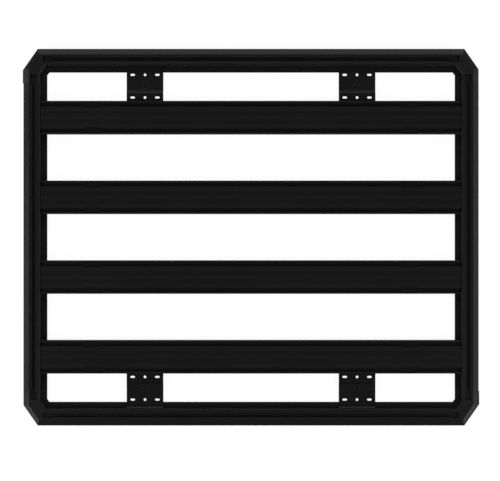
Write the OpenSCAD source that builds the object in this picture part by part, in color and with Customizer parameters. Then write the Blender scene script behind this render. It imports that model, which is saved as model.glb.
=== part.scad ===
// Flat platform roof rack: four slotted edge rails joined by cast corners,
// four slotted planks running fore and aft, and four drilled mounting plates.
// +X points to the front of the vehicle, +Y to its left, +Z up.
// The origin is under the middle of the rack, level with the underside of the rails.

/* [Platform] */
// Length over the front and rear rails
platform_l = 1450; // [1250:10:2000]
// Width over the two side rails
platform_w = 1200; // [1100:10:1400]
// Height from the underside to the flat top of the rails
frame_h = 48; // [46:1:60]

/* [Edge rails] */
// Width of a rail from its outer face to its inner wall
rail_w = 54; // [52:1:70]
// Wall thickness of the rail extrusion
rail_wall = 2.5; // [2:0.5:4]
// Plan width of the sloping outer shoulder
shoulder_w = 17.5; // [8:0.5:18]
// Drop of the sloping outer shoulder
shoulder_h = 12; // [8:1:18]
// Size of the bevel along the inner top edge
rail_bevel = 2.5; // [1:0.5:4]
// Distance from the outer face to the middle of the rail slot
rail_slot_u = 33.5; // [32:0.5:34]
// Depth of the shallow step beside the rail slot
rim_step = 0.5; // [0.3:0.1:1.5]
// Width of the raised rim left inside that step
rim_w = 9; // [6:0.5:10]
// Reach of the inner ledge that carries planks and plates
ledge_w = 20; // [15:1:24]
// Thickness of the ledge
ledge_t = 5; // [3:0.5:6]
// Height of the ledge's upper face
ledge_z = 13; // [11:0.5:15]

/* [Slots] */
// Width of the open mouth of every slot
mouth_w = 12; // [8:0.5:13]
// Width of the channel under the mouth, which takes a bolt head
channel_w = 19; // [16:0.5:19.5]
// Height of that channel
channel_h = 10; // [6:0.5:12]
// Thickness of the lips that hold the bolt head down
lip_t = 3; // [2:0.5:4]
// Wall between a channel and the hollow beside it
channel_wall = 2.5; // [1.5:0.5:3]
// Length over which the lips flare at each end of a rail
lead_l = 4; // [2:1:8]

/* [Corner castings] */
// Reach of a corner along the side rail, from the outer end face
arm_x = 90; // [84:1:130]
// Reach of a corner along the front or rear rail, from the outer side face
arm_y = 110; // [98:1:150]
// Length cut off the outer corner along the side rail
chamfer_x = 45.5; // [30:0.5:50]
// Length cut off the outer corner along the front or rear rail
chamfer_y = 65; // [50:1:68]
// Width of a casting's top from its outer edge to its inner wall
cast_w = 52.2; // [50:0.1:53]
// Distance that the foot of two castings' shoulders stands out past the end rail
cast_proud = 2; // [0.5:0.5:4]
// Plan width of the sloping shoulder along the cut corner
cut_shoulder_w = 14.5; // [8:0.5:18]
// Drop of the sloping shoulder along the cut corner
cut_shoulder_h = 11; // [8:1:18]
// Wall thickness of the casting, which is open underneath
cast_wall = 4; // [3:0.5:6]
// Thickness of the end wall that a spigot grows from
end_wall = 8; // [5:1:12]
// Bevel along the inner top edge of a casting
cast_bevel = 1.5; // [0.5:0.5:3]
// Length of the bolt entry pocket in each arm
pocket_l = 28; // [22:1:32]
// Width of that pocket
pocket_w = 20.5; // [19:0.5:21]
// Corner of the ledge cut away along the side rail
ledge_cut_x = 7; // [2:1:12]
// Corner of the ledge cut away along the front or rear rail
ledge_cut_y = 9; // [2:1:14]
// Length of the spigot inside a rail
spigot_l = 60; // [30:5:90]
// Thickness of the two stiffening ribs under a casting
rib_t = 4; // [3:0.5:6]
// Distance between those two ribs
rib_pitch = 19; // [14:1:24]

/* [Planks] */
// Width of a plank
plank_w = 106.5; // [100:0.5:125]
// Height of a plank
plank_h = 33; // [31:0.5:36]
// Distance from the outer side face to the near edge of the outer plank
plank_u = 166; // [160:0.5:180]
// Wall thickness of the plank extrusion
plank_wall = 2; // [1.5:0.5:3]
// Distance from the middle of a plank to the middle of each slot
plank_slot_y = 40.8; // [38:0.1:41]
// Half width of the raised land along the middle of a plank
land_half = 5; // [3:0.5:8]
// Width of each of the two shallow bands beside that land
band_w = 14; // [8:1:15]
// Depth of the shallow bands
band_d = 0.8; // [0.3:0.1:1.2]
// Distance from the middle of the platform to the middle of an entry cut-out
entry_x = 504; // [420:1:560]
// Length of an entry cut-out
entry_l = 55; // [35:1:80]
// Corner radius of an entry cut-out
entry_r = 4; // [1:0.5:8]
// Depth of the groove along each side of a plank
groove_d = 7; // [5:0.5:8]

/* [Mounting plates] */
// Distance from the middle of the platform to the middle of a mounting plate
plate_x = 338.5; // [250:0.5:400]
// Width of a mounting plate along the side rail
plate_w = 117; // [106:1:140]
// Thickness of a mounting plate
plate_t = 5; // [4:0.5:6]
// Height of the step up to the plank side of a plate
joggle_h = 4; // [3:0.5:5]
// Distance from the outer side face to the middle of that step
joggle_u = 135.5; // [126:0.5:138]
// Inside radius of the two bends of that step
bend_in_r = 2; // [1:0.5:3]
// Outside radius of the two bends of that step
bend_out_r = 5; // [3:0.5:7]
// Plan width of the sloping heel against the rail
heel_w = 5; // [3:0.5:8]
// Height of the heel above the plate
heel_h = 4; // [3:0.5:12]
// Length of plate edge held in the plank's groove
tongue_l = 6; // [4:0.5:6.5]
// Distance from the outer side face to the outer row of holes
row_u = 81.5; // [80:0.5:90]
// Distance between the two rows of holes
row_pitch = 72.6; // [68:0.1:74]
// Distance between the two slotted holes of a row
slot_pitch = 78.7; // [60:0.1:84]
// Width of a slotted hole
slot_d = 6.6; // [5:0.1:9]
// Length of a slotted hole over its round ends
slot_l = 14.4; // [10:0.1:20]
// Diameter of the round hole in the middle of a row
hole_d = 8.4; // [6:0.1:11]
// Diameter of the dished seat of the plate bolt at the plate's face
dish_d = 17.5; // [17:0.5:20]
// Width of the shallow rim round that seat
dish_rim_w = 1.1; // [0.6:0.1:1.4]

/* [Plate bolts] */
// Diameter of the countersunk head
head_d = 14.5; // [13:0.5:15]
// Diameter of the shank
shank_d = 8; // [6:0.5:8]
// Hexagon socket across its flats
socket_af = 5; // [3:0.5:6]
// Depth of the hexagon socket
socket_d = 3; // [2:0.5:4]
// Outer diameter of the washer
washer_d = 20; // [18:0.5:24]
// Thickness of the washer
washer_t = 1.6; // [1:0.2:2]
// Nut across its flats
nut_af = 13; // [11:0.5:14]
// Height of the nut
nut_h = 6.5; // [4:0.5:7]
// Length of shank below the nut
bolt_tail = 2; // [1:0.5:3]

/* [Clearances] */
// Gap between the face of a casting and the end of a rail
joint_gap = 0.3; // [0.1:0.1:1]
// Gap all round a spigot inside its rail
spigot_gap = 0.3; // [0.1:0.1:1]
// Gap between the end of a plank and the rail wall
plank_gap = 1.5; // [0.5:0.5:4]
// Gap between a plate and the rail wall or the plank groove
plate_gap = 0.3; // [0.1:0.1:0.6]
// Gap between the head of a plate bolt and its dished seat
seat_gap = 0.15; // [0.05:0.05:0.3]
// Gap round the shank of a plate bolt
shank_gap = 0.5; // [0.2:0.1:0.8]

/* [Hidden] */
$fn = 48;

// Overshoot of a cutting shape past the face it opens
over = 1;

side_rail_l = platform_l - 2 * (arm_x + joint_gap);
end_rail_l = platform_w - 2 * (arm_y + joint_gap);
plank_l = platform_l - 2 * (rail_w + plank_gap);
ledge_u = rail_w + ledge_w;
channel_top = frame_h - lip_t;
channel_floor = channel_top - channel_h;
hollow_top = channel_floor - rail_wall;
shoulder_z = frame_h - shoulder_h;
shoulder_slope = shoulder_h / shoulder_w;
// Height at which the inside of the shoulder starts, above the outer face
inner_shoulder_z = shoulder_z - rail_wall * sqrt(1 + shoulder_slope * shoulder_slope);
outer_plank_y = platform_w / 2 - plank_u - plank_w / 2;
inner_plank_y = outer_plank_y / 3;
plate_top = ledge_z + plate_t;
bolt_u = row_u + row_pitch / 2;
// Diameter at which the bolt's steeper seat would meet the plate's face, and depth of its rim
seat_d = dish_d - 2 * dish_rim_w * (1 - tan(30));
dish_rim_h = dish_rim_w * tan(30);

// Direction and distance of the outer corner's cut, as seen from the corner
chamfer_l = sqrt(chamfer_x * chamfer_x + chamfer_y * chamfer_y);
chamfer_n = [chamfer_y / chamfer_l, chamfer_x / chamfer_l];
chamfer_c = chamfer_x * chamfer_y / chamfer_l;

// Points where a line parallel to the cut, a distance in from it, crosses a given y or x
function chamfer_at_y(y, inset) = [(chamfer_c + inset - chamfer_n[1] * y) / chamfer_n[0], y];
function chamfer_at_x(x, inset) = [x, (chamfer_c + inset - chamfer_n[0] * x) / chamfer_n[1]];

// Plan outline of a casting, inset by one distance outside and another inside
function cast_outline(outer, inner, end_x, end_y, proud) = [
    chamfer_at_y(outer, outer),
    [end_x, outer],
    [end_x, inner],
    chamfer_at_y(inner, inner),
    chamfer_at_x(inner, inner),
    [inner, end_y],
    [outer - proud, end_y],
    chamfer_at_x(outer - proud, outer)
];

// A profile of distance in and height, run along X
module run_x(length) {
    rotate([90, 0, 90]) linear_extrude(length, center = true) children();
}

// The same profile run along Y
module run_y(length) {
    rotate([90, 0, 0]) linear_extrude(length, center = true) children();
}

// Moves what is made for the rear right corner to any corner
module to_corner(front, left) {
    mirror([front ? 1 : 0, 0, 0])
        mirror([0, left ? 1 : 0, 0])
            translate([-platform_l / 2, -platform_w / 2, 0])
                children();
}

// Slot mouth and bolt head channel, with the mouth centred on x = 0
module slot_profile(top) {
    translate([-mouth_w / 2, top - lip_t - over]) square([mouth_w, lip_t + 2 * over]);
    translate([-channel_w / 2, top - lip_t - channel_h]) square([channel_w, channel_h]);
}

// Hollow of a rail, with a lobe up each side of the slot channel
module rail_hollow() {
    outer_lobe = rail_slot_u - channel_w / 2 - channel_wall;
    inner_lobe = rail_slot_u + channel_w / 2 + channel_wall;
    inner_face = rail_w - rail_wall;
    lobe_top = channel_top - rim_step;
    polygon([
        [rail_wall, rail_wall],
        [inner_face, rail_wall],
        [inner_face, lobe_top - rail_bevel / 2],
        [inner_face - rail_bevel / 2, lobe_top],
        [inner_lobe, lobe_top],
        [inner_lobe, hollow_top],
        [outer_lobe, hollow_top],
        [outer_lobe, lobe_top],
        [(lobe_top - inner_shoulder_z) / shoulder_slope, lobe_top],
        [rail_wall, inner_shoulder_z + rail_wall * shoulder_slope]
    ]);
}

// Cross-section shared by the four rails, from the outer face at x = 0 inwards
module rail_profile() {
    rim_u = rail_w - rim_w;
    difference() {
        polygon([
            [0, 0],
            [rail_w, 0],
            [rail_w, ledge_z - ledge_t],
            [ledge_u, ledge_z - ledge_t],
            [ledge_u, ledge_z],
            [rail_w, ledge_z],
            [rail_w, frame_h - rail_bevel],
            [rail_w - rail_bevel, frame_h],
            [rim_u, frame_h],
            [rim_u - rim_step, frame_h - rim_step],
            [rail_slot_u, frame_h - rim_step],
            [rail_slot_u, frame_h],
            [shoulder_w, frame_h],
            [0, shoulder_z]
        ]);
        rail_hollow();
        translate([rail_slot_u, 0]) slot_profile(frame_h);
    }
}

// Flare of the slot lips at the end of a rail, widening towards +X
module slot_flare() {
    translate([0, rail_slot_u, channel_top - over])
        linear_extrude(lip_t + 2 * over)
            polygon([
                [-lead_l, -mouth_w / 2],
                [over, -channel_w / 2],
                [over, channel_w / 2],
                [-lead_l, mouth_w / 2]
            ]);
}

// Rail along X with its outer face on y = 0
module side_rail() {
    color("#222326") difference() {
        run_x(side_rail_l) rail_profile();
        translate([side_rail_l / 2, 0, 0]) slot_flare();
        mirror([1, 0, 0]) translate([side_rail_l / 2, 0, 0]) slot_flare();
    }
}

// Rail along Y with its outer face on x = 0
module end_rail() {
    color("#222326") difference() {
        run_y(end_rail_l) rail_profile();
        mirror([1, -1, 0]) translate([end_rail_l / 2, 0, 0]) slot_flare();
        mirror([0, 1, 0]) mirror([1, -1, 0]) translate([end_rail_l / 2, 0, 0]) slot_flare();
    }
}

// Places what is made along the side rail's outer edge on the cut corner's edge
module on_chamfer() {
    translate([0, chamfer_y, 0]) rotate([0, 0, -atan2(chamfer_y, chamfer_x)]) children();
}

// All that lies above a shoulder falling outwards from the flat top of a casting
module above_shoulder(width, slope) {
    foot = cast_proud + over;
    run_x(2 * (arm_x + arm_y))
        polygon([
            [width, frame_h],
            [-foot, frame_h - slope * (width + foot)],
            [-foot, frame_h + over],
            [width, frame_h + over]
        ]);
}

// All that lies above the bevel along an inner wall of a casting
module above_bevel() {
    run_x(2 * (arm_x + arm_y))
        polygon([
            [cast_w, frame_h - cast_bevel],
            [cast_w - cast_bevel - over, frame_h + over],
            [arm_x + arm_y, frame_h + over],
            [arm_x + arm_y, frame_h - cast_bevel]
        ]);
}

// Outer form of a casting: upright walls, a sloping shoulder outside and a bevel inside
module cast_form(proud) {
    difference() {
        linear_extrude(frame_h) polygon(cast_outline(0, cast_w, arm_x, arm_y, proud));
        above_shoulder(shoulder_w, shoulder_slope);
        mirror([1, -1, 0]) above_shoulder(shoulder_w, shoulder_h / (shoulder_w + proud));
        on_chamfer() above_shoulder(cut_shoulder_w, cut_shoulder_h / cut_shoulder_w);
        intersection() {
            above_bevel();
            mirror([1, -1, 0]) above_bevel();
            on_chamfer() above_bevel();
        }
    }
}

// Ledge that carries the two rails' ledges round the corner
module cast_ledge() {
    overlap = cast_w - cast_wall / 2;
    translate([0, 0, ledge_z - ledge_t])
        linear_extrude(ledge_t)
            polygon([
                [arm_x, overlap],
                [arm_x, ledge_u],
                [ledge_u + ledge_cut_x, ledge_u],
                [ledge_u, ledge_u + ledge_cut_y],
                [ledge_u, arm_y],
                [overlap, arm_y],
                [overlap, overlap]
            ]);
}

// Pocket in the arm along the side rail, open towards the rail's slot
module entry_pocket(arm) {
    translate([arm - pocket_l, rail_slot_u - pocket_w / 2, channel_floor])
        cube([pocket_l + over, pocket_w, lip_t + channel_h + over]);
}

// Spigot that slides into the hollow of the side rail
module spigot(arm) {
    side = rail_wall + spigot_gap;
    translate([arm - end_wall / 2, side, side])
        cube([
            end_wall / 2 + spigot_l,
            rail_w - 2 * side,
            hollow_top - spigot_gap - side
        ]);
}

// Hollow under a casting, closed by an end wall in each arm
module cast_hollow() {
    top = channel_floor - cast_wall;
    translate([0, 0, -over])
        linear_extrude(top + over)
            polygon(cast_outline(cast_wall, cast_w - cast_wall, arm_x - end_wall, arm_y - end_wall, 0));
}

// Two ribs square to the cut corner, from its outer wall to the inner one
module cast_ribs() {
    inner_mid = (chamfer_at_y(cast_w, cast_w) + chamfer_at_x(cast_w, cast_w)) / 2;
    along = (inner_mid - [0, chamfer_y]) * [chamfer_n[1], -chamfer_n[0]];
    for (shift = [-rib_pitch / 2, rib_pitch / 2])
        on_chamfer()
            translate([along + shift - rib_t / 2, cast_wall / 2, 0])
                cube([rib_t, cast_w - cast_wall, channel_floor - cast_wall / 2]);
}

// Corner casting for the rear right, with its outer corner at the origin
module corner(proud) {
    color("#26272a") {
        difference() {
            union() {
                cast_form(proud);
                cast_ledge();
            }
            cast_hollow();
            entry_pocket(arm_x);
            mirror([1, -1, 0]) entry_pocket(arm_y);
        }
        cast_ribs();
        spigot(arm_x);
        mirror([1, -1, 0]) spigot(arm_y);
    }
}

// Chambers of one half of a plank, beside and under its slot channel
module plank_chambers() {
    web = plank_slot_y - channel_w / 2 - plank_wall;
    chamber_top = plank_h - lip_t - channel_h - plank_wall;
    groove_y = plank_w / 2 - groove_d - plank_wall;
    groove_top = joggle_h + plate_t + plate_gap + plank_wall;
    outer_face = plank_w / 2 - plank_wall;
    translate([plank_wall / 2, plank_wall])
        square([web - plank_wall / 2, plank_h - 2 * plank_wall - band_d]);
    polygon([
        [web + plank_wall, plank_wall],
        [groove_y, plank_wall],
        [groove_y, groove_top],
        [outer_face, groove_top],
        [outer_face, chamber_top],
        [web + plank_wall, chamber_top]
    ]);
}

// Slot, side groove, shallow band and chambers of one half of a plank
module plank_half_cuts() {
    translate([plank_slot_y, 0]) slot_profile(plank_h);
    translate([plank_w / 2 - groove_d, joggle_h - plate_gap])
        square([groove_d + over, plate_t + 2 * plate_gap]);
    translate([land_half, plank_h - band_d]) square([band_w, band_d + over]);
    plank_chambers();
}

// Cross-section of a plank, centred on x = 0 and standing on y = 0
module plank_profile() {
    difference() {
        translate([-plank_w / 2, 0]) square([plank_w, plank_h]);
        plank_half_cuts();
        mirror([1, 0]) plank_half_cuts();
    }
}

// Rounded opening that lets a bolt head drop into a plank's slot
module entry_cut() {
    long = entry_l - 2 * entry_r;
    wide = channel_w - 2 * entry_r;
    translate([0, 0, plank_h - lip_t - over]) linear_extrude(lip_t + 2 * over) {
        square([entry_l, wide], center = true);
        square([long, channel_w], center = true);
        for (x = [-long / 2, long / 2], y = [-wide / 2, wide / 2])
            translate([x, y]) circle(entry_r);
    }
}

// Plank along X, standing on the ledges of the end rails
module plank(y) {
    color("#202124") translate([0, y, ledge_z]) difference() {
        run_x(plank_l) plank_profile();
        for (x = [-entry_x, entry_x], side = [-plank_slot_y, plank_slot_y])
            translate([x, side, 0]) entry_cut();
    }
}

// Upper face of the step in a plate, from its head to its foot, about the step's middle.
// Both bends turn by 45 degrees and the plate keeps its thickness between them.
function step_face() =
    let (
        bend_fall = 1 - cos(45),
        rise = joggle_h - (bend_in_r + bend_out_r) * bend_fall,
        foot = [
            (plate_t - joggle_h) / 2 + bend_in_r * (bend_fall - sin(45)) - plate_t * sin(45),
            (plate_t - joggle_h) / 2
        ],
        head = foot + [(bend_in_r + bend_out_r) * sin(45) + rise, joggle_h]
    )
    concat(
        [for (a = [0:5:45]) head - bend_out_r * [sin(a), 1 - cos(a)]],
        [for (a = [45:-5:0]) foot + bend_in_r * [sin(a), 1 - cos(a)]]
    );

// Side view of a mounting plate, from the outer side face inwards
module plate_profile() {
    start = rail_w + plate_gap;
    end = plank_u + tongue_l;
    middle = [joggle_u, ledge_z + (plate_t + joggle_h) / 2];
    face = step_face();
    polygon(concat(
        [[start, ledge_z]],
        [for (p = face) middle - p],
        [[end, ledge_z + joggle_h], [end, plate_top + joggle_h]],
        [for (p = face) middle + p],
        [[start + heel_w, plate_top], [start, plate_top + heel_h]]
    ));
}

// Slotted hole with round ends, long along X
module slotted_hole() {
    run = slot_l - slot_d;
    depth = plate_t + joggle_h + 2 * over;
    translate([0, 0, ledge_z - over]) {
        translate([-run / 2, -slot_d / 2, 0]) cube([run, slot_d, depth]);
        for (x = [-run / 2, run / 2])
            translate([x, 0, 0]) cylinder(h = depth, d = slot_d);
    }
}

// One row of holes: a round one between two slotted ones
module hole_row(u) {
    translate([0, u, 0]) {
        translate([0, 0, ledge_z - over]) cylinder(h = plate_t + joggle_h + 2 * over, d = hole_d);
        for (x = [-slot_pitch / 2, slot_pitch / 2])
            translate([x, 0, 0]) slotted_hole();
    }
}

// Mounting plate between the side rail and the outer plank, centred on x = 0
module mounting_plate() {
    rim_fall = tan(30);
    color("#232427") difference() {
        run_x(plate_w) plate_profile();
        hole_row(row_u);
        hole_row(row_u + row_pitch);
        translate([0, bolt_u, 0]) {
            translate([0, 0, ledge_z - over])
                cylinder(h = plate_t + over, d = shank_d + 2 * shank_gap);
            translate([0, 0, plate_top - (seat_d - shank_d) / 2])
                cylinder(h = (seat_d - shank_d) / 2 + over, d1 = shank_d, d2 = seat_d + 2 * over);
            translate([0, 0, plate_top - dish_rim_h])
                cylinder(
                    h = dish_rim_h + over * rim_fall,
                    d1 = dish_d - 2 * dish_rim_w,
                    d2 = dish_d + 2 * over
                );
        }
    }
}

// Countersunk bolt through the middle of a plate, with its washer and nut
module plate_bolt() {
    cone_h = (head_d - shank_d) / 2;
    head_z = plate_top - (seat_d - head_d) / 2 + seat_gap;
    washer_z = ledge_z - washer_t;
    nut_z = washer_z - nut_h;
    tail_z = nut_z - bolt_tail;
    color("#18191b") translate([0, bolt_u, 0]) {
        difference() {
            union() {
                translate([0, 0, head_z - cone_h]) cylinder(h = cone_h, d1 = shank_d, d2 = head_d);
                translate([0, 0, tail_z]) cylinder(h = head_z - cone_h - tail_z, d = shank_d);
                translate([0, 0, nut_z]) cylinder(h = nut_h, d = nut_af / cos(30), $fn = 6);
                translate([0, 0, washer_z]) cylinder(h = washer_t, d = washer_d);
            }
            translate([0, 0, head_z - socket_d])
                cylinder(h = socket_d + over, d = socket_af / cos(30), $fn = 6);
        }
    }
}

// Moves what is made beside the right side rail, in the middle, to one plate's place
module to_plate(front, left) {
    mirror([0, left ? 1 : 0, 0])
        translate([front ? plate_x : -plate_x, -platform_w / 2, 0])
            children();
}

mirror([0, 1, 0]) translate([0, -platform_w / 2, 0]) side_rail();  // left_side_rail
translate([0, -platform_w / 2, 0]) side_rail();  // right_side_rail
mirror([1, 0, 0]) translate([-platform_l / 2, 0, 0]) end_rail();  // front_rail
translate([-platform_l / 2, 0, 0]) end_rail();  // rear_rail
to_corner(true, true) corner(0);  // front_left_corner
to_corner(true, false) corner(cast_proud);  // front_right_corner
to_corner(false, true) corner(cast_proud);  // rear_left_corner
to_corner(false, false) corner(0);  // rear_right_corner
plank(outer_plank_y);  // left_outer_plank
plank(inner_plank_y);  // left_inner_plank
plank(-inner_plank_y);  // right_inner_plank
plank(-outer_plank_y);  // right_outer_plank
to_plate(true, true) mounting_plate();  // front_left_plate
to_plate(true, false) mounting_plate();  // front_right_plate
to_plate(false, true) mounting_plate();  // rear_left_plate
to_plate(false, false) mounting_plate();  // rear_right_plate
to_plate(true, true) plate_bolt();  // front_left_plate_bolt
to_plate(true, false) plate_bolt();  // front_right_plate_bolt
to_plate(false, true) plate_bolt();  // rear_left_plate_bolt
to_plate(false, false) plate_bolt();  // rear_right_plate_bolt
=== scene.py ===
import math

import bmesh
import bpy
from mathutils import Matrix, Vector


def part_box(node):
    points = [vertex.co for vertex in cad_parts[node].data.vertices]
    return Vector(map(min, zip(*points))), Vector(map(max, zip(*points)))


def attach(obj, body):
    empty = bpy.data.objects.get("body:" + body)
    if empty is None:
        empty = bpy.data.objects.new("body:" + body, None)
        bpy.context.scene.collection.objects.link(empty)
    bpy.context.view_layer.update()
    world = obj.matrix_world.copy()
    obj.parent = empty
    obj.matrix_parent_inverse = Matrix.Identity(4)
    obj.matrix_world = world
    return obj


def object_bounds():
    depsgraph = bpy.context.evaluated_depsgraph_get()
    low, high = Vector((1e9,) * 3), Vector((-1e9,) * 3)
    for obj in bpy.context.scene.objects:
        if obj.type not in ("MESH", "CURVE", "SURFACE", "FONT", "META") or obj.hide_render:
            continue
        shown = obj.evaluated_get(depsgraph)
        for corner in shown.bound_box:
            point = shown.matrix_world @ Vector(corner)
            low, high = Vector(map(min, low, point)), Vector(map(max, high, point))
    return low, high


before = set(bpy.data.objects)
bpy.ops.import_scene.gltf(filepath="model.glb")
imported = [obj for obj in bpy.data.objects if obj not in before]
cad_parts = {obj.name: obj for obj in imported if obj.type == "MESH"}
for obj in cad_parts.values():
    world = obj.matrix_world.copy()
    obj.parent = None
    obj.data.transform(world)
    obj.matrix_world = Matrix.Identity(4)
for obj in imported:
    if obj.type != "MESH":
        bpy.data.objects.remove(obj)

# A black flat platform roof rack on a white floor, seen from straight above.
# Metres throughout, +X to the front of the vehicle, +Y to its left, +Z up.
mm = 0.001
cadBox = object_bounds()
scene = bpy.context.scene
scene.view_settings.view_transform = "Standard"
print("frame loaded,", len(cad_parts), "nodes")


def nodesEnding(ending):
    return [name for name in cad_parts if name.endswith(ending)]


def toLinear(hexColour):      # by the sRGB curve
    channels = [int(hexColour[i:i + 2], 16) / 255 for i in (1, 3, 5)]
    return [c / 12.92 if c <= 0.04045 else ((c + 0.055) / 1.055) ** 2.4 for c in channels] + [1.0]


# A socket is given by its name, or by its number where a node has several of one name.
def addNode(tree, kind, inputs=None, links=None, **settings):
    node = tree.nodes.new(kind)
    for name, value in settings.items():
        setattr(node, name, value)
    for socket, value in (inputs or {}).items():
        node.inputs[socket].default_value = value
    for socket, output in (links or {}).items():
        tree.links.new(output, node.inputs[socket])
    return node


def startFinish(name):
    finish = bpy.data.materials.new(name)
    finish.use_nodes = True
    finish.node_tree.nodes.clear()
    return finish, finish.node_tree


# Camera: straight down, far away behind a long lens, so the rack is almost in plan.
cameraView = {
    "centre": (-0.0033, -0.0105),
    "height": 8.05,
    "frameWidth": 1.5905,     # width seen at the height of the rails' top
    "sensor": 36.0,           # in mm, as the lens is
    "farthest": 200.0,        # nothing beyond this is drawn
}


def makeCamera(c):
    data = bpy.data.cameras.new("camera")
    data.sensor_width = c["sensor"]
    data.lens = c["sensor"] * (c["height"] - cadBox[1].z) / c["frameWidth"]
    data.clip_end = c["farthest"]
    camera = bpy.data.objects.new("camera", data)
    camera.location = (*c["centre"], c["height"])
    scene.collection.objects.link(camera)
    scene.camera = camera


makeCamera(cameraView)
print("camera placed")


# Floor and lamps. The floor is plain white paper and keeps a faint shadow of the rack.
studio = {
    "floorSize": 80.0,
    "floorDrop": 0.5 * mm,    # below the rack's underside
    "paperColour": "#F2F2F2",
    "paperGlow": 0.88,        # share of the paper's white that no shadow reaches
    "glowStrength": 1.06,     # over 1, as the lamps light the rest of it to less than white
    "worldColour": "#F6F6F6",
    "worldLevel": 0.13,
    # name, azimuth from +X, elevation, distance, width, height, level of its own surface
    "lamps": [
        ("highBackPanel", 90, 47, 5.5, 3.0, 2.0, 4.6),
        ("highLeftPanel", 208, 47, 5.5, 3.0, 2.0, 4.6),
        ("highRightPanel", 332, 47, 5.5, 3.0, 2.0, 4.6),
        ("lowBackSoftbox", 90, 20, 5.0, 3.6, 1.5, 1.62),
        ("lowLeftSoftbox", 187, 17, 5.0, 4.8, 1.3, 1.6),
        ("lowRightSoftbox", 344, 17, 5.0, 4.8, 1.3, 1.5),
        ("leftCornerSoftbox", 221, 14, 5.0, 1.4, 1.2, 3.0),
        ("rightCornerSoftbox", 319, 14, 5.0, 1.4, 1.2, 2.2),
    ],
}


def makePaper(c):
    paper, tree = startFinish("matteWhitePaper")      # dull and even, no gloss
    dull = addNode(tree, "ShaderNodeBsdfDiffuse", {"Color": toLinear(c["paperColour"])})
    glow = addNode(tree, "ShaderNodeEmission", {"Color": (1, 1, 1, 1), "Strength": c["glowStrength"]})
    path = addNode(tree, "ShaderNodeLightPath")
    orGlossy = addNode(tree, "ShaderNodeMath", operation="MAXIMUM",
                       links={0: path.outputs["Is Camera Ray"], 1: path.outputs["Is Glossy Ray"]})
    seen = addNode(tree, "ShaderNodeMath", operation="MAXIMUM",
                   links={0: orGlossy.outputs[0], 1: path.outputs["Is Transmission Ray"]})
    share = addNode(tree, "ShaderNodeMath", {1: c["paperGlow"]}, {0: seen.outputs[0]},
                    operation="MULTIPLY")
    front = addNode(tree, "ShaderNodeMixShader",
                    links={0: share.outputs[0], 1: dull.outputs[0], 2: glow.outputs[0]})
    # the back of the sheet is open, so that the rack can be looked at from below
    side = addNode(tree, "ShaderNodeNewGeometry")
    clear = addNode(tree, "ShaderNodeBsdfTransparent")
    whole = addNode(tree, "ShaderNodeMixShader",
                    links={0: side.outputs["Backfacing"], 1: front.outputs[0], 2: clear.outputs[0]})
    addNode(tree, "ShaderNodeOutputMaterial", links={"Surface": whole.outputs[0]})
    return paper


def makeFloor(c):
    mesh = bpy.data.meshes.new("floor")
    h, z = c["floorSize"] / 2, -c["floorDrop"]
    mesh.from_pydata([(-h, -h, z), (h, -h, z), (h, h, z), (-h, h, z)], [], [(0, 1, 2, 3)])
    mesh.materials.append(makePaper(c))
    floor = bpy.data.objects.new("floor", mesh)
    scene.collection.objects.link(floor)


def makeLamps(c):
    for name, azimuth, elevation, distance, width, height, level in c["lamps"]:
        a, e = math.radians(azimuth), math.radians(elevation)
        away = Vector((math.cos(a) * math.cos(e), math.sin(a) * math.cos(e), math.sin(e)))
        data = bpy.data.lights.new(name, "AREA")
        data.shape, data.size, data.size_y = "RECTANGLE", width, height
        data.energy = level * math.pi * width * height    # so that a mirror would show the level
        lamp = bpy.data.objects.new(name, data)
        lamp.location = away * distance
        lamp.rotation_mode = "QUATERNION"
        lamp.rotation_quaternion = away.to_track_quat("Z", "Y")
        scene.collection.objects.link(lamp)


def makeWorld(c):
    world = bpy.data.worlds.new("studio")
    world.use_nodes = True
    scene.world = world
    sky = world.node_tree.nodes["Background"]
    sky.inputs["Color"].default_value = toLinear(c["worldColour"])
    sky.inputs["Strength"].default_value = c["worldLevel"]


makeFloor(studio)
makeLamps(studio)
makeWorld(studio)
print("floor and lamps placed")


# Powder coat: a baked polymer skin over metal, so it is no metal to the eye. It has a soft wide
# sheen over a nearly black body. Orange peel breaks the sheen up; real peel is about 1 mm across
# and is drawn at peelSize so that it shows. What lies under the coat comes through it faintly:
# the long die lines of an extrusion, or the grain of a casting.
powderCoat = {
    "rails": {
        "name": "powderCoatedExtrudedAluminium", "colour": "#141414", "light": "#181818",
        "roughness": 0.28, "roughnessDrift": 0.015, "ior": 1.31,
        "peelSize": 2.5 * mm, "peelHeight": 0.03 * mm,
        "linePitch": 3.0 * mm, "lineLength": 700 * mm, "lineHeight": 0.012 * mm,
    },
    "planks": {
        "name": "powderCoatedPlankExtrusion", "colour": "#131313", "light": "#171717",
        "roughness": 0.30, "roughnessDrift": 0.015, "ior": 1.31,
        "peelSize": 2.5 * mm, "peelHeight": 0.03 * mm,
        "linePitch": 3.0 * mm, "lineLength": 900 * mm, "lineHeight": 0.012 * mm,
    },
    "corner_castings": {
        "name": "powderCoatedCastAluminium", "colour": "#151515", "light": "#191919",
        "roughness": 0.28, "roughnessDrift": 0.02, "ior": 1.34,
        "peelSize": 3.2 * mm, "peelHeight": 0.045 * mm,
        "linePitch": 1.4 * mm, "lineLength": 1.4 * mm, "lineHeight": 0.02 * mm,
    },
    "mounting_plates": {
        "name": "powderCoatedPressedAluminium", "colour": "#101010", "light": "#141414",
        "roughness": 0.30, "roughnessDrift": 0.015, "ior": 1.31,
        "peelSize": 2.2 * mm, "peelHeight": 0.03 * mm,
        "linePitch": 5.0 * mm, "lineLength": 60 * mm, "lineHeight": 0.008 * mm,
    },
}

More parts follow.
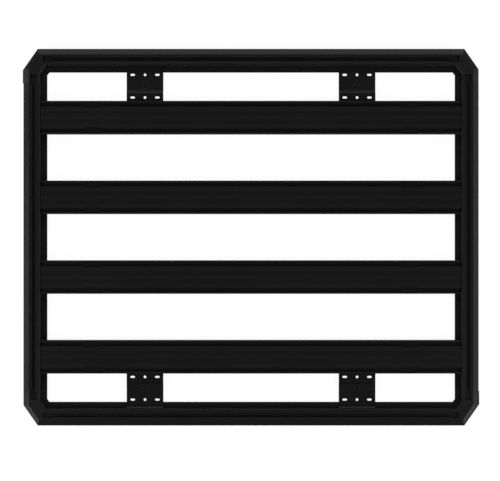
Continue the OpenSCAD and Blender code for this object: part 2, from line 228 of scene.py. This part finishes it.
# Shared by all the coats.
coatPattern = {
    "driftSize": 120 * mm,       # slow change of shade and gloss over a surface
    "driftDetail": 3.0,
    "peelDetail": 2.0,
    "lineDetail": 2.0,
    "glossShift": 0.5,           # added to drift times lines
    "glossRange": (0.6, 0.9),    # of that sum, from the glossiest to the dullest
}


def powderCoated(c, shared, across=False):
    finish, tree = startFinish(c["name"] + ("Across" if across else ""))
    place = addNode(tree, "ShaderNodeTexCoord").outputs["Object"]
    peel = addNode(tree, "ShaderNodeTexNoise",
                   {"Scale": 1 / c["peelSize"], "Detail": shared["peelDetail"]}, {"Vector": place})
    drift = addNode(tree, "ShaderNodeTexNoise",
                    {"Scale": 1 / shared["driftSize"], "Detail": shared["driftDetail"]},
                    {"Vector": place})
    long, fine = 1 / c["lineLength"], 1 / c["linePitch"]
    stretched = addNode(tree, "ShaderNodeMapping",
                        {"Scale": (fine, long, fine) if across else (long, fine, fine)},
                        {"Vector": place})
    lines = addNode(tree, "ShaderNodeTexNoise", {"Scale": 1.0, "Detail": shared["lineDetail"]},
                    {"Vector": stretched.outputs[0]})
    body = addNode(tree, "ShaderNodeMix", {6: toLinear(c["colour"]), 7: toLinear(c["light"])},
                   {0: drift.outputs[0]}, data_type="RGBA")
    mixed = addNode(tree, "ShaderNodeMath", {2: shared["glossShift"]},
                    {0: drift.outputs[0], 1: lines.outputs[0]}, operation="MULTIPLY_ADD")
    lowest, highest = shared["glossRange"]
    rough = addNode(tree, "ShaderNodeMapRange",
                    {"From Min": lowest, "From Max": highest,
                     "To Min": c["roughness"] - c["roughnessDrift"],
                     "To Max": c["roughness"] + c["roughnessDrift"]},
                    {"Value": mixed.outputs[0]})
    peelBump = addNode(tree, "ShaderNodeBump", {"Strength": 1.0, "Distance": c["peelHeight"]},
                       {"Height": peel.outputs[0]})
    bump = addNode(tree, "ShaderNodeBump", {"Strength": 1.0, "Distance": c["lineHeight"]},
                   {"Height": lines.outputs[0], "Normal": peelBump.outputs[0]})
    shader = addNode(tree, "ShaderNodeBsdfPrincipled", {"IOR": c["ior"], "Metallic": 0.0},
                     {"Base Color": body.outputs[2], "Roughness": rough.outputs[0],
                      "Normal": bump.outputs[0]})
    addNode(tree, "ShaderNodeOutputMaterial", links={"Surface": shader.outputs[0]})
    return finish


# Black oxide on steel: a thin dark skin that keeps the metal's reflections, dim and a little cloudy.
blackOxide = {
    "colour": "#262626", "light": "#303030",
    "roughness": 0.36, "roughnessDrift": 0.06,
    "cloudSize": 5 * mm, "cloudDetail": 4.0,
    "cloudRange": (0.3, 0.7),    # of the noise, from the glossiest to the dullest
}


def blackened(c):
    finish, tree = startFinish("blackOxideSteel")
    place = addNode(tree, "ShaderNodeTexCoord").outputs["Object"]
    cloud = addNode(tree, "ShaderNodeTexNoise",
                    {"Scale": 1 / c["cloudSize"], "Detail": c["cloudDetail"]}, {"Vector": place})
    body = addNode(tree, "ShaderNodeMix", {6: toLinear(c["colour"]), 7: toLinear(c["light"])},
                   {0: cloud.outputs[0]}, data_type="RGBA")
    lowest, highest = c["cloudRange"]
    rough = addNode(tree, "ShaderNodeMapRange",
                    {"From Min": lowest, "From Max": highest,
                     "To Min": c["roughness"] - c["roughnessDrift"],
                     "To Max": c["roughness"] + c["roughnessDrift"]},
                    {"Value": cloud.outputs[0]})
    shader = addNode(tree, "ShaderNodeBsdfPrincipled", {"Metallic": 1.0},
                     {"Base Color": body.outputs[2], "Roughness": rough.outputs[0]})
    addNode(tree, "ShaderNodeOutputMaterial", links={"Surface": shader.outputs[0]})
    return finish


# Moulded rubber of the joint gaskets: dull, black, with hardly any sheen.
gasketRubber = {
    "colour": "#0B0B0B", "light": "#101010",
    "roughness": 0.75, "ior": 1.5,
    "grainSize": 1.5 * mm, "grainDetail": 2.0,
}


def rubber(c):
    finish, tree = startFinish("mouldedBlackRubber")
    place = addNode(tree, "ShaderNodeTexCoord").outputs["Object"]
    grain = addNode(tree, "ShaderNodeTexNoise",
                    {"Scale": 1 / c["grainSize"], "Detail": c["grainDetail"]}, {"Vector": place})
    body = addNode(tree, "ShaderNodeMix", {6: toLinear(c["colour"]), 7: toLinear(c["light"])},
                   {0: grain.outputs[0]}, data_type="RGBA")
    shader = addNode(tree, "ShaderNodeBsdfPrincipled",
                     {"Roughness": c["roughness"], "IOR": c["ior"], "Metallic": 0.0},
                     {"Base Color": body.outputs[2]})
    addNode(tree, "ShaderNodeOutputMaterial", links={"Surface": shader.outputs[0]})
    return finish


finishes = {slot: powderCoated(c, coatPattern) for slot, c in powderCoat.items()}
finishes["bolts"] = blackened(blackOxide)
endRailFinish = powderCoated(powderCoat["rails"], coatPattern, across=True)
gasketFinish = rubber(gasketRubber)


# The frame's own nodes keep their shapes. Their edges are softened as a thick coat softens them.
coatEdges = {
    "weldWithin": 0.01 * mm,
    "flatWithin": 0.5,        # degrees between faces that count as one
    "sharperThan": 22,        # degrees, for an edge to be softened
    "steps": 2,
    "radius": {"rails": 0.25 * mm, "planks": 0.3 * mm, "corner_castings": 0.5 * mm,
               "mounting_plates": 0.2 * mm, "bolts": 0.15 * mm},
}


def softenEdges(node, radius, c):
    weld = node.modifiers.new("joinFaces", "WELD")
    weld.merge_threshold = c["weldWithin"]
    flat = node.modifiers.new("flatFaces", "DECIMATE")
    flat.decimate_type, flat.angle_limit = "DISSOLVE", math.radians(c["flatWithin"])
    soft = node.modifiers.new("softEdges", "BEVEL")
    soft.width, soft.segments = radius, c["steps"]
    soft.limit_method, soft.angle_limit = "ANGLE", math.radians(c["sharperThan"])
    soft.harden_normals = True


for name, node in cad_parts.items():
    slot = node.material_slots[0].material.name
    runsAcross = name in ("front_rail", "rear_rail")
    node.material_slots[0].material = endRailFinish if runsAcross else finishes[slot]
    softenEdges(node, coatEdges["radius"][slot], coatEdges)
print("frame finished")


sharpFrom = 35      # degrees between faces of an added piece where shading breaks


def addPiece(name, bm, finish):
    mesh = bpy.data.meshes.new(name)
    bmesh.ops.recalc_face_normals(bm, faces=bm.faces)
    bm.to_mesh(mesh)
    bm.free()
    mesh.shade_smooth()
    mesh.set_sharp_from_angle(angle=math.radians(sharpFrom))
    mesh.materials.append(finish)
    piece = bpy.data.objects.new(name, mesh)
    scene.collection.objects.link(piece)
    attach(piece, "root")


# Button head screws with washers hold planks and plates to the ledges from below. Smaller ones
# under the ledges hold the rails to the corners' spigots. Each set is one piece.
ledgeScrew = {
    "headDiameter": 10.5 * mm,
    "headHeight": 3.3 * mm,
    "flatTop": 5.6 * mm,
    "socketWidth": 4.0 * mm,
    "socketDepth": 2.0 * mm,
    "washerDiameter": 12.5 * mm,
    "washerThickness": 1.2 * mm,
}
spigotScrew = {
    "headDiameter": 6.6 * mm,
    "headHeight": 2.2 * mm,
    "flatTop": 3.8 * mm,
    "socketWidth": 2.5 * mm,
    "socketDepth": 1.3 * mm,
    "washerDiameter": 7.0 * mm,
    "washerThickness": 0.7 * mm,
}

# Shared by both sizes.
screwShape = {
    "pointsRound": 36,          # a multiple of six, so that the socket keeps its corners
    "domeSteps": 6,
    "straightShare": 0.12,      # of the head's height, below the dome
    "washerEdge": 0.15 * mm,
    "socketEdge": 0.2 * mm,
    "coneDepth": 0.4 * mm,      # left by the drill in the socket's floor
    "coneTip": 0.2,             # of the socket's half width
}


def ringOf(bm, at, radius, height, sixSided=False):
    turn, points = screwShape["pointsRound"], []
    for i in range(turn):
        angle = 2 * math.pi * i / turn
        r = radius
        if sixSided:
            r = radius / math.cos((angle + math.pi / 6) % (math.pi / 3) - math.pi / 6)
        points.append(bm.verts.new(at @ Vector((r * math.cos(angle), r * math.sin(angle), height))))
    return points


def skin(bm, rings):
    turn = len(rings[0])
    for low, high in zip(rings, rings[1:]):
        for i in range(turn):
            bm.faces.new((low[i], low[(i + 1) % turn], high[(i + 1) % turn], high[i]))
    bm.faces.new(rings[0][::-1])
    bm.faces.new(rings[-1])


def addScrew(bm, at, c, shape):
    w, t, edge = c["washerDiameter"] / 2, c["washerThickness"], shape["washerEdge"]
    skin(bm, [ringOf(bm, at, r, z) for r, z in
              ((w - edge, 0), (w, edge), (w, t - edge), (w - edge, t))])

    head, top, h = c["headDiameter"] / 2, c["flatTop"] / 2, c["headHeight"]
    straight, steps = shape["straightShare"], shape["domeSteps"]
    rings = [ringOf(bm, at, head, t), ringOf(bm, at, head, t + straight * h)]
    for i in range(1, steps + 1):      # the dome
        lean = math.pi / 2 * i / steps
        r = top + (head - top) * math.cos(lean)
        rings.append(ringOf(bm, at, r, t + h * (straight + (1 - straight) * math.sin(lean))))

    rim, edge, depth = c["socketWidth"] / 2, shape["socketEdge"], c["socketDepth"]
    rings.append(ringOf(bm, at, rim + edge, t + h, True))
    rings.append(ringOf(bm, at, rim, t + h - edge, True))
    rings.append(ringOf(bm, at, rim, t + h - depth, True))
    rings.append(ringOf(bm, at, rim * shape["coneTip"], t + h - depth - shape["coneDepth"]))
    skin(bm, rings)


def screwSet(name, places, c):
    bm = bmesh.new()
    for point, facing in places:
        turned = Vector(facing).to_track_quat("Z", "Y").to_matrix().to_4x4()
        addScrew(bm, Matrix.Translation(point) @ turned, c, screwShape)
    addPiece(name, bm, finishes["bolts"])


# Where the screws sit, from the nodes' own boxes.
screwPlaces = {
    "ledgeUnderside": 8 * mm,      # height of the ledges' lower face
    "ledgeReach": 20 * mm,         # from the rail's inner wall
    "plankSpread": 30 * mm,        # either side of a plank's middle
    "plateSpread": 40 * mm,        # either side of a plate's middle
    "spigotHeight": 4.2 * mm,
    "spigotSteps": (15 * mm, 45 * mm),   # from the joint with the casting
}
ledgeZ, reach = screwPlaces["ledgeUnderside"], screwPlaces["ledgeReach"]
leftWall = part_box("left_side_rail")[0].y + reach      # inner walls of the rails
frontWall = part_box("front_rail")[0].x + reach
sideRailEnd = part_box("left_side_rail")[1].x           # joints with the castings
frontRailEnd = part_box("front_rail")[1].y
down = (0, 0, -1)

for name in nodesEnding("_plank"):
    low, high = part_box(name)
    middle, spread = (low.y + high.y) / 2, screwPlaces["plankSpread"]
    x = frontWall - reach / 2
    screwSet(name + "_screws", [((sx * x, middle + sy * spread, ledgeZ), down)
                                for sx in (-1, 1) for sy in (-1, 1)], ledgeScrew)

for name in nodesEnding("_plate"):
    low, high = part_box(name)
    middle, spread = (low.x + high.x) / 2, screwPlaces["plateSpread"]
    y = math.copysign(leftWall - reach / 2, low.y)
    screwSet(name + "_screws", [((middle + sx * spread, y, ledgeZ), down)
                                for sx in (-1, 1)], ledgeScrew)

cornerSigns = {n: (math.copysign(1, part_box(n)[0].x), math.copysign(1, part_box(n)[0].y))
               for n in nodesEnding("_corner")}
for name, (sx, sy) in cornerSigns.items():
    z, steps = screwPlaces["spigotHeight"], screwPlaces["spigotSteps"]
    places = [((sx * (sideRailEnd - step), sy * leftWall, z), (0, -sy, 0)) for step in steps]
    places += [((sx * frontWall, sy * (frontRailEnd - step), z), (-sx, 0, 0)) for step in steps]
    screwSet(name + "_screws", places, spigotScrew)
print("screws added")


# Rubber gaskets fill the joints between castings and rails. Each follows the casting's face, as
# distance from the outer side and height, a little inside its edges, with a hole for the spigot.
jointGasket = {
    "thickness": 0.26 * mm,
    "middle": 0.15 * mm,      # from the rail's end to the gasket's middle
    # both outlines in mm
    "outline": [(0.2, 0.2), (52.0, 0.2), (52.0, 8.2), (73.8, 8.2), (73.8, 12.8), (52.0, 12.8),
                (52.0, 46.3), (50.6, 47.7), (44.0, 47.7), (44.0, 34.8), (23.0, 34.8), (23.0, 47.7),
                (17.7, 47.7), (0.2, 35.8)],
    "spigotHole": [(2.7, 2.7), (51.3, 2.7), (51.3, 32.3), (2.7, 32.3)],
}


def gasketSheet(c):
    curve = bpy.data.curves.new("gasketSheet", "CURVE")
    curve.dimensions, curve.fill_mode, curve.extrude = "2D", "BOTH", c["thickness"] / 2
    for points in (c["outline"], c["spigotHole"]):
        spline = curve.splines.new("POLY")
        spline.points.add(len(points) - 1)
        for point, (u, z) in zip(spline.points, points):
            point.co = (u * mm, z * mm, 0, 1)
        spline.use_cyclic_u = True
    carrier = bpy.data.objects.new("gasketSheet", curve)
    sheet = bpy.data.meshes.new_from_object(carrier)
    bpy.data.objects.remove(carrier)
    bpy.data.curves.remove(curve)
    return sheet


# Stands the flat sheet up: its width runs inwards, its height up, its thickness through the joint.
def stoodUp(inwards, through, foot):
    turned = Matrix((inwards, (0, 0, 1), through)).transposed().to_4x4()
    return Matrix.Translation(foot) @ turned


sheet = gasketSheet(jointGasket)
sideJoint = sideRailEnd + jointGasket["middle"]
frontJoint = frontRailEnd + jointGasket["middle"]
leftFace = cadBox[1].y                    # outer faces of the rails
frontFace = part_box("front_rail")[1].x
for name, (sx, sy) in cornerSigns.items():
    bm = bmesh.new()
    for at in (stoodUp((0, -sy, 0), (1, 0, 0), (sx * sideJoint, sy * leftFace, 0)),
               stoodUp((-sx, 0, 0), (0, 1, 0), (sx * frontFace, sy * frontJoint, 0))):
        placed = sheet.copy()
        placed.transform(at)
        bm.from_mesh(placed)
        bpy.data.meshes.remove(placed)
    addPiece(name + "_gaskets", bm, gasketFinish)
bpy.data.meshes.remove(sheet)
print("gaskets added")


# Fine grip ribs run the length of the two shallow bands of each plank, below its top.
gripRib = {
    "firstAt": 6.4 * mm,      # from the plank's middle
    "pitch": 2.3 * mm,
    "count": 6,               # in each band
    "floorDepth": 0.8 * mm,   # of the band under the plank's top
    "endGap": 0.6 * mm,
    # across and up, in mm, from the middle of a rib's foot
    "section": [(-0.55, -0.05), (-0.50, 0.28), (-0.34, 0.46),
                (0.34, 0.46), (0.50, 0.28), (0.55, -0.05)],
}


def addRibs(name, c):
    low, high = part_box(name)
    middle, floor = (low.y + high.y) / 2, high.z - c["floorDepth"]
    bm = bmesh.new()
    for side in (-1, 1):
        for i in range(c["count"]):
            y = middle + side * (c["firstAt"] + i * c["pitch"])
            skin(bm, [[bm.verts.new((x, y + u * mm, floor + h * mm)) for u, h in c["section"]]
                      for x in (low.x + c["endGap"], high.x - c["endGap"])])
    addPiece(name + "_ribs", bm, finishes["planks"])


for name in nodesEnding("_plank"):
    addRibs(name, gripRib)
print("grip ribs added")
